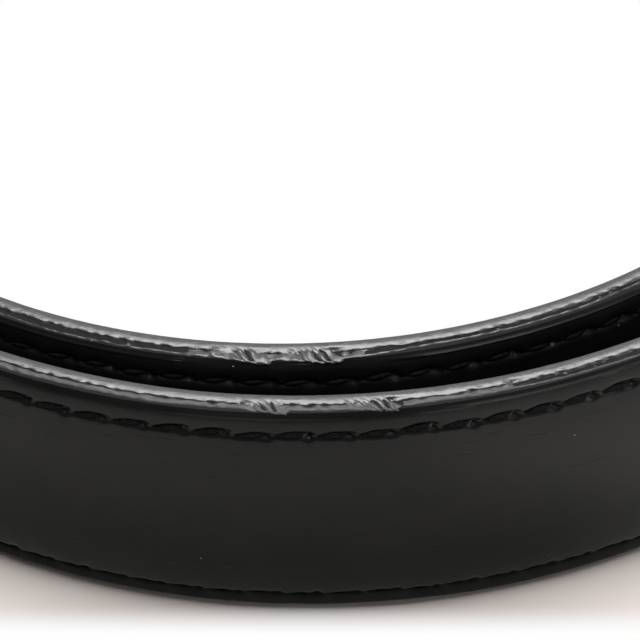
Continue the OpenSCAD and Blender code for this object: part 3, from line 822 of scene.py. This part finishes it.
def keeper_loop(name):
    """A loop in the node's place: its section is carried round from butt to butt.

    The leather is pressed in a little under the staples.
    """
    low, high = (1000 * np.array(corner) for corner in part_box(name))
    half = loop_line(high[0] - low[0] - keeper_t, high[2] - low[2] - keeper_t)
    line = np.concatenate([half, (half * (1, -1, -1))[::-1]])
    x, z, angle = (line[:, k, None] for k in range(3))
    along, off = keeper_section[None, :, 0], keeper_section[None, :, 1]
    under_staple = bump(abs(along) - staple_at, 0.45) * (x < 0) * (off > 0)
    under_staple = under_staple * ease(abs(z), staple_half + 0.3, staple_half)
    off = off - staple_dent * under_staple
    off = off + 0.03 * ripple(len(name), 4 * angle + z, along, 14, 4, 9)
    points = np.stack([x + off * np.cos(angle), along + 0 * x, z + off * np.sin(angle)], -1)
    points, girth = points + (low + high) / 2, 10 + lengths(keeper_section)
    return skin(name + "_loop", points, lengths(line[:, :2]), girth)


def metal(name, dark, light, rough, scratched):
    """A plated metal: cloudy in colour, with fine scratches that also dull it."""
    finish = Finish(name, Metallic=1.0)
    at = finish.place()
    cloud = finish.noise(at, 160, 3)
    scratches = finish.noise(finish.place((250, 2600, 1900)), 1.0, 3, 0.65)
    finish.feed("Base Color", finish.shade(cloud, dark, light))
    finish.feed("Roughness", cloud * 0.07 + scratches * scratched + rough)
    finish.raise_by(scratches + finish.noise(at, 700, 2) * 0.6, 0.00001, 0.4)
    return finish


for name, body in (("fixed_keeper", "strap"), ("sliding_keeper", "keeper")):
    piece = keeper_loop(name)
    leather.on(piece)
    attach(piece, body)
    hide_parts(name)
wire = metal("staple_wire", (0.42, 0.42, 0.43), (0.58, 0.58, 0.59), 0.24, 0.12)
wire.on(nodes["fixed_keeper_staples"], nodes["sliding_keeper_staples"])


# Snaps
# Two spring snaps of dark nickel-plated brass close the flap: post and stud on the lining, socket
# and domed cap on the flap.
nickel = metal("dark_nickel", (0.22, 0.215, 0.21), (0.34, 0.33, 0.32), 0.2, 0.14)
nickel.on(*(nodes[n] for n in ("snap_posts", "snap_studs", "snap_sockets", "snap_caps")))


# Buckle
# A cast zinc frame, bowed to the wearer's waist, with a plain pin and a prong that turns on it,
# all polished and nickel plated.
window_l, frame_l, frame_w, side_bar, corner_r = 29.0, 34.0, 36.0, 2.5, 7.0
bow_r, bow_half, bar_depth, boss_r = 55.0, 15.75, 3.2, 3.0
eye_r, prong_r, prong_w, prong_t = 1.58, 2.68, 4.6, 2.0
prong_tip_w, prong_l, prong_gap = 3.0, 36.2, 0.05


def beyond_pin(ahead, out, height):
    """Points [..., 3]: ahead of the pin, out from the strap's back and up from its lower edge."""
    ahead, out, height = np.broadcast_arrays(ahead, out, height)
    return np.stack([pin_x - pin_out + out, pin_y - ahead, lift + height], -1)


def bowed(ahead, off):
    """How far out the bowed bar lies ahead of the pin: an arc through pin and front bar."""
    arc = np.sqrt((bow_r + off) ** 2 - (ahead - bow_half) ** 2)
    return pin_out - np.sqrt(bow_r**2 - bow_half**2) + arc


def rounded(count, front, back):
    """A closed section from -1 to 1 both ways: a superellipse, with a power for each half."""
    angle = np.linspace(0, 2 * np.pi, count, endpoint=False)
    c, s = np.cos(angle), np.sin(angle)
    power = np.where(s > 0, 2 / front, 2 / back)
    return np.sign(c) * abs(c) ** power, np.sign(s) * abs(s) ** power


def bar_edge(length, half, radius):
    """One outline of the bar from eye to eye, as [ahead, side]: straight, with round corners."""
    t = np.linspace(0, 1, 25)[:-1, None]
    turn = np.linspace(0, np.pi / 2, 17)[:, None]
    t_front = np.linspace(1, 0, 13)[1:, None]
    ahead = np.concatenate([
        t * (length - radius), length - radius + radius * np.sin(turn), length + 0 * t_front])
    side = np.concatenate([
        half + 0 * t, half - radius + radius * np.cos(turn), (half - radius) * t_front])
    return np.concatenate([ahead, ahead[-2::-1]]), np.concatenate([side, -side[-2::-1]])


def frame_bar():
    """The frame's bar: a rounded section stretched between its outer and its inner outline."""
    far, wide = bar_edge(frame_l, frame_w / 2, corner_r)
    near, narrow = bar_edge(window_l, frame_w / 2 - side_bar, corner_r - side_bar)
    across, off = rounded(28, 3.2, 5.0)
    ahead = (far + near) / 2 + 0.99 * across * (far - near) / 2
    side = (wide + narrow) / 2 + 0.99 * across * (wide - narrow) / 2
    return beyond_pin(ahead, bowed(ahead, off * bar_depth / 2), half_w + side)


def boss(start):
    """The eye at one end of the bar: a short round boss about the pin, with rounded rims."""
    turn = np.linspace(0, 2 * np.pi, 36, endpoint=False)[None, :]
    radius = boss_r - np.array([0.35, 0.1, 0.0, 0.0, 0.1, 0.35])[:, None]
    height = np.array([0.0, 0.1, 0.35, 2.15, 2.4, 2.5])[:, None]
    return beyond_pin(radius * np.cos(turn), pin_out + radius * np.sin(turn), start + height)


def bend(a, b, c):
    """A quadratic curve from a to c that leans towards b, as [out, ahead]."""
    t = np.linspace(0, 1, 14)[:, None]
    return (1 - t) ** 2 * np.array(a) + 2 * t * (1 - t) * np.array(b) + t**2 * np.array(c)


def prong_blade():
    """The prong from its eye to its tip: a rounded section between an upper and a lower curve.

    It lies on the front bar and hooks over it, and it tapers ahead to a blunt nose.
    """
    rest = np.array([bowed(window_l, bar_depth / 2) + prong_gap, window_l])
    crest = np.array([rest[0] + prong_t, 0.8 * window_l])
    over_bar = window_l + 2
    nose_out = bowed(frame_l, bar_depth / 2) + prong_gap + 0.7 * prong_t
    nose = np.array([nose_out, frame_l + 1.1])
    root = (pin_out + 0.96 * prong_r, 0.4 * prong_r)
    top = np.concatenate([bend(root, (pin_out + prong_r, 0.4 * window_l), crest),
        bend(crest, (crest[0], over_bar), nose)])
    below = np.concatenate([[top[0]],
        bend((pin_out + 0.4, eye_r + 0.55), (rest[0] - 0.6, 0.5 * window_l), rest),
        bend(rest, (rest[0] - 0.1, over_bar), nose - (1.4, 0.3))])
    to_bar = np.linspace(top[0, 1] + 0.05, window_l, 34)
    ahead = np.concatenate([to_bar, np.linspace(window_l, nose[1], 16)[1:]])[:, None]
    upper, lower = (np.interp(ahead, curve[:, 1], curve[:, 0]) for curve in (top, below))
    width = np.interp(ahead, (0, 0.6 * prong_l, prong_l), (prong_w, prong_w, prong_tip_w))
    blunt = np.sqrt(np.clip((nose[1] + 0.05 - ahead) / 0.8, 0.02, 1))
    side, off = rounded(24, 2.6, 4.0)
    out = (upper + lower) / 2 + 0.5 * off * (upper - lower) * blunt
    return beyond_pin(ahead, out, half_w + 0.5 * width * side * blunt)


def prong_eye():
    """The eye of the prong: a rounded band turned about the pin."""
    turn = np.linspace(0, 2 * np.pi, 48, endpoint=False)[:, None]
    side, off = rounded(20, 3.0, 6.0)
    radius = (eye_r + prong_r) / 2 + off * (prong_r - eye_r) / 2
    across = half_w + side * prong_w / 2
    return beyond_pin(radius * np.cos(turn), pin_out + radius * np.sin(turn), across)


plate = metal("polished_nickel", (0.66, 0.65, 0.63), (0.74, 0.73, 0.71), 0.07, 0.09)
eyes = boss(half_w - frame_w / 2), boss(half_w + frame_w / 2 - side_bar)
bar = solid("buckle_frame_cast", frame_bar(), *eyes)
prong = solid("prong_cast", prong_blade(), rings=[prong_eye()])
for piece, name, body in ((bar, "buckle_frame", "buckle"), (prong, "prong", "prong")):
    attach(piece, body)
    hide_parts(name)
plate.on(bar, prong, nodes["buckle_pin"])


# Floor
# A pale table top under soft studio light, white inside the coil and in the distance. It keeps
# the belt's shadow round the coil.
table = bpy.data.meshes.new("table_top")
table.from_pydata([(-3, -3, 0), (3, -3, 0), (3, 3, 0), (-3, 3, 0)], [], [(0, 1, 2, 3)])
floor = bpy.data.objects.new("table_top", table)
bpy.context.scene.collection.objects.link(floor)
white = (1, 1, 1, 1)

# The camera sees it white inside the coil, far away and beyond a slanting line in front of the
# belt. Glossy rays see a glowing grey in place of the lit table, a painted reflection: painted
# shade near the coil and painted light away from it and to the right.
paper = Finish("white_paper", Base_Color=(0.85, 0.775, 0.73, 1), Roughness=0.9,
    Specular_IOR_Level=0.1)
spot = paper.place()
x, y = (paper.axis(spot, letter) for letter in "XY")
middle = from_middle(paper, spot)
ahead = (y + x * 0.0654).between(-0.0681, -0.0724)
bright = middle.between(0.064, 0.054) + middle.between(0.15, 0.2)
bright = bright + ahead * middle.between(0.1, 0.095)
# How bright the painted reflection is: painted shade near the coil, painted light away from it and
# to the right.
far = middle.between(0.082, 0.113) * (x.between(0.0, 0.03) * 0.6 + 0.68)
far = far + x.between(0.01, 0.05) * 0.7
painted_reflection = paper.add("ShaderNodeEmission", {},
    {"Color": paper.shade(far, (0.22, 0.22, 0.21), (1.0, 0.97, 0.95))})
glow = paper.add("ShaderNodeEmission", {}, {"Color": white, "Strength": 1.0})
mirrored = paper.add("ShaderNodeLightPath", output="Is Glossy Ray")
seen = paper.add("ShaderNodeLightPath", output="Is Camera Ray")
# Glossy rays get the glowing painted reflection instead of the lit table.
plain = paper.add("ShaderNodeMixShader", {}, {0: mirrored, 1: paper.plain(), 2: painted_reflection})
paper.show(paper.add("ShaderNodeMixShader", {}, {0: seen * bright, 1: plain, 2: glow}))
paper.on(floor)


# Light
# A large soft box above the belt draws the streaks along the painted edges, with a faint panel at
# the right and a room that is bright behind the belt, dark before it and white to the camera.
def softbox(name, place, aim, size, strength):
    """A rectangular lamp at a place, turned so that its face looks straight at its aim."""
    lamp = bpy.data.lights.new(name, "AREA")
    lamp.shape, lamp.size, lamp.size_y, lamp.energy = "RECTANGLE", *size, strength
    holder = bpy.data.objects.new(name, lamp)
    holder.location = place
    holder.rotation_euler = (Vector(aim) - Vector(place)).to_track_quat("-Z", "Y").to_euler()
    bpy.context.scene.collection.objects.link(holder)


class Room(Finish):
    """The world round the belt, built in the same way round its Background shader."""

    def __init__(self, name, **fixed):
        self.world = bpy.data.worlds.new(name)
        self.take(self.world, "Background", "World Output", fixed)


softbox("top_box", (0.04, 0.0, 0.92), (0.04, 0.0, 0), (0.75, 0.8), 11.5)
softbox("right_panel", (0.85, -0.5, 0.3), (0.02, -0.06, 0.02), (0.6, 0.4), 1.8)
room = Room("room", Color=white)
direction = room.add("ShaderNodeTexCoord", output="Generated")
behind = room.axis(direction, "Y").between(-0.05, 0.5)
low_down = room.axis(direction, "Z").between(1.0, 0.45)
room.feed("Strength", behind * (low_down * 0.82) + 0.08)
backdrop = room.add("ShaderNodeBackground", {}, {"Color": white, "Strength": 1.0})
seen = room.add("ShaderNodeLightPath", output="Is Camera Ray")
room.show(room.add("ShaderNodeMixShader", {}, {0: seen, 1: room.plain(), 2: backdrop}))
bpy.context.scene.world = room.world
bpy.context.scene.view_settings.view_transform = "Standard"


# Camera
# A long lens, 46 degrees above the table, close to the front of the coil, and turned three
# degrees about its line of sight.
camera_at = (-0.01166, -0.259765, 0.24005)
down, roll = np.radians(45.87), np.radians(-2.95)
ahead = Vector((0, np.cos(down), -np.sin(down)))
up, right = Vector((0, np.sin(down), np.cos(down))), Vector((1, 0, 0))
across_view = np.cos(roll) * right + np.sin(roll) * up
up_view = -np.sin(roll) * right + np.cos(roll) * up
lens = bpy.data.cameras.new("camera")
lens.lens, lens.sensor_width, lens.clip_start = 168.75, 36, 0.02
camera = bpy.data.objects.new("camera", lens)
turned_so = Matrix((across_view, up_view, -ahead)).transposed().to_4x4()
camera.matrix_world = Matrix.Translation(camera_at) @ turned_so
bpy.context.scene.collection.objects.link(camera)
bpy.context.scene.camera = camera

bpy.context.view_layer.update()
